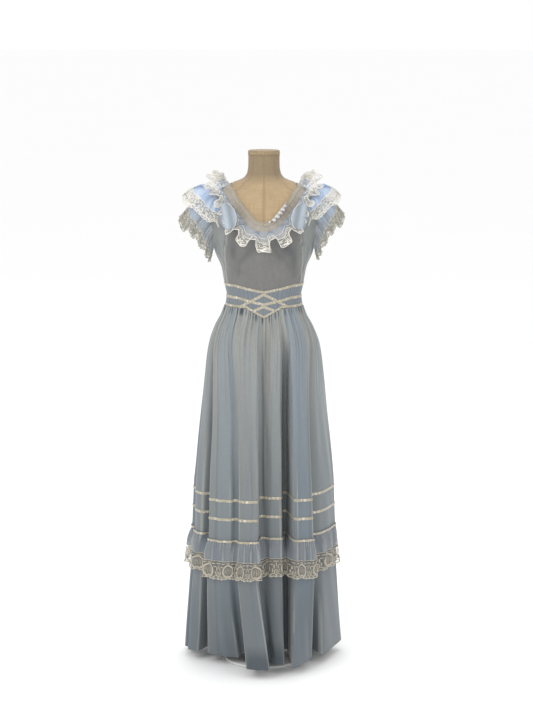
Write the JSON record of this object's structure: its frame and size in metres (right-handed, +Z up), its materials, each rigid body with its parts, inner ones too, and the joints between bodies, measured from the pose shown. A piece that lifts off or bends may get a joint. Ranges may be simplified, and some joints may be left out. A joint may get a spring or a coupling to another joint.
{
  "type": "evening gown on a dress form",
  "caption": "Floor-length sheer gown with a ruffled lace neckline, double cap sleeves, ribbon-trimmed waistband and a lace flounce on the skirt, worn by a limbless linen dress form on a stand",
  "frame": {"origin": "middle of the box around the part, on the floor under the stand's base", "axes": "+Z up, the gown's front faces -Y, +X is to the right in the picture"},
  "size_m": [0.499, 0.4742, 1.554],
  "materials": {
    "bodice_voile": "sheer grey-blue voile over a lining of the same colour",
    "skirt_voile": "sheer grey-blue voile",
    "sheer_blue": "sheer pale blue voile",
    "yoke_voile": "sheer beige-grey voile",
    "band_voile": "voile, blue-grey",
    "cream_lace": "cream cotton lace",
    "cream_satin": "cream satin ribbon",
    "linen": "natural linen, stretched",
    "base_enamel": "satin pale enamel",
    "pole_steel": "brushed steel"
  },
  "bodies": {
    "root": {"bodice_back_left": "bodice_voile", "bodice_back_right": "bodice_voile", "bodice_front": "bodice_voile", "form_neck_cap": "linen", "form_torso": "linen", "neck_edging": "cream_lace", "neck_lace_back": "cream_lace", "neck_lace_front": "cream_lace", "neck_ruffle": "sheer_blue", "ribbon_flounce_heading": "cream_satin", "ribbon_lattice_lower_left": "cream_satin", "ribbon_lattice_lower_right": "cream_satin", "ribbon_lattice_upper_left": "cream_satin", "ribbon_lattice_upper_right": "cream_satin", "ribbon_skirt_lower": "cream_satin", "ribbon_skirt_upper": "cream_satin", "ribbon_waist_bottom": "cream_satin", "ribbon_waist_middle": "cream_satin", "ribbon_waist_top": "cream_satin", "skirt_back": "skirt_voile", "skirt_flounce_back": "sheer_blue", "skirt_flounce_front": "sheer_blue", "skirt_front": "skirt_voile", "skirt_lace_left": "cream_lace", "skirt_lace_right": "cream_lace", "sleeve_lower_left": "sheer_blue", "sleeve_lower_left_lace": "cream_lace", "sleeve_lower_right": "sheer_blue", "sleeve_lower_right_lace": "cream_lace", "sleeve_upper_left": "sheer_blue", "sleeve_upper_left_lace": "cream_lace", "sleeve_upper_right": "sheer_blue", "sleeve_upper_right_lace": "cream_lace", "stand_base": "base_enamel", "stand_pole": "pole_steel", "waistband": "band_voile", "yoke_back": "yoke_voile", "yoke_front": "yoke_voile"}
  },
  "joints": []
}
